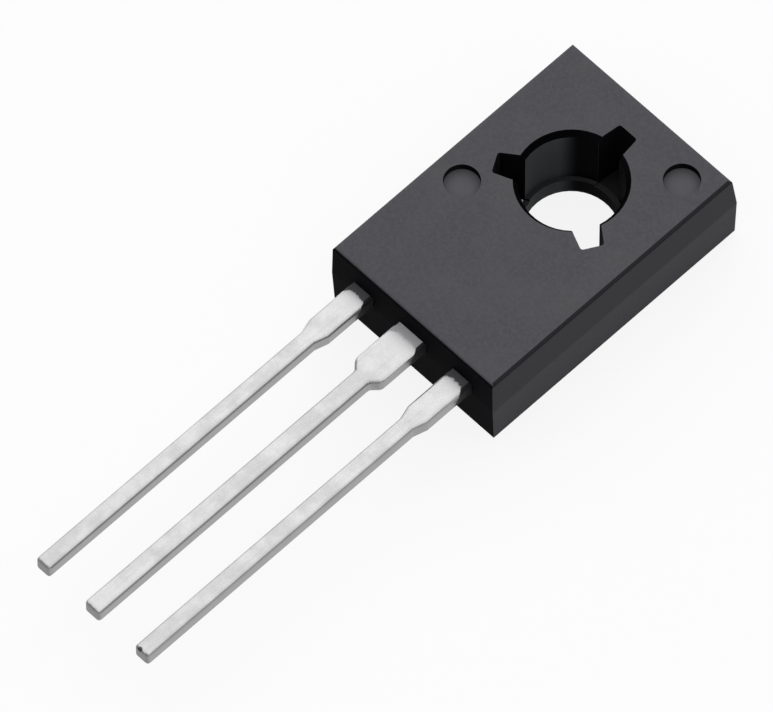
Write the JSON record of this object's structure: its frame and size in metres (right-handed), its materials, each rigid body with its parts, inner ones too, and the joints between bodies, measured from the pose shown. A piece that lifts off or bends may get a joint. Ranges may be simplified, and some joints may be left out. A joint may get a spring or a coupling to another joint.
{
  "type": "thyristor in a flat three-lead package",
  "caption": "Flat rectangular black plastic package with a slotted screw hole, a bare metal tab at the back and straight tinned leads in a row.",
  "frame": {"origin": "where the screw hole's axis meets the back face of the package", "axes": "+Z along the screw hole, out of the front face; the leads run along -Y; +X across the width, to the right when the front is seen with the leads down"},
  "size_m": [0.0074, 0.0257, 0.0034],
  "materials": {
    "epoxy_moulding": "fine matte moulding compound, slightly bluish black",
    "tinned_copper": "matte tin plating on stamped copper, faintly mottled",
    "silicon": "polished silicon with an aluminium top contact",
    "solder": "dull soft solder",
    "bond_wire": "drawn aluminium wire"
  },
  "bodies": {
    "root": {"moulded_body": "epoxy_moulding", "anode_frame": "tinned_copper", "cathode_lead": "tinned_copper", "gate_lead": "tinned_copper", "thyristor_die": "silicon", "die_solder": "solder", "cathode_wire": "bond_wire", "gate_wire": "bond_wire"}
  },
  "joints": []
}
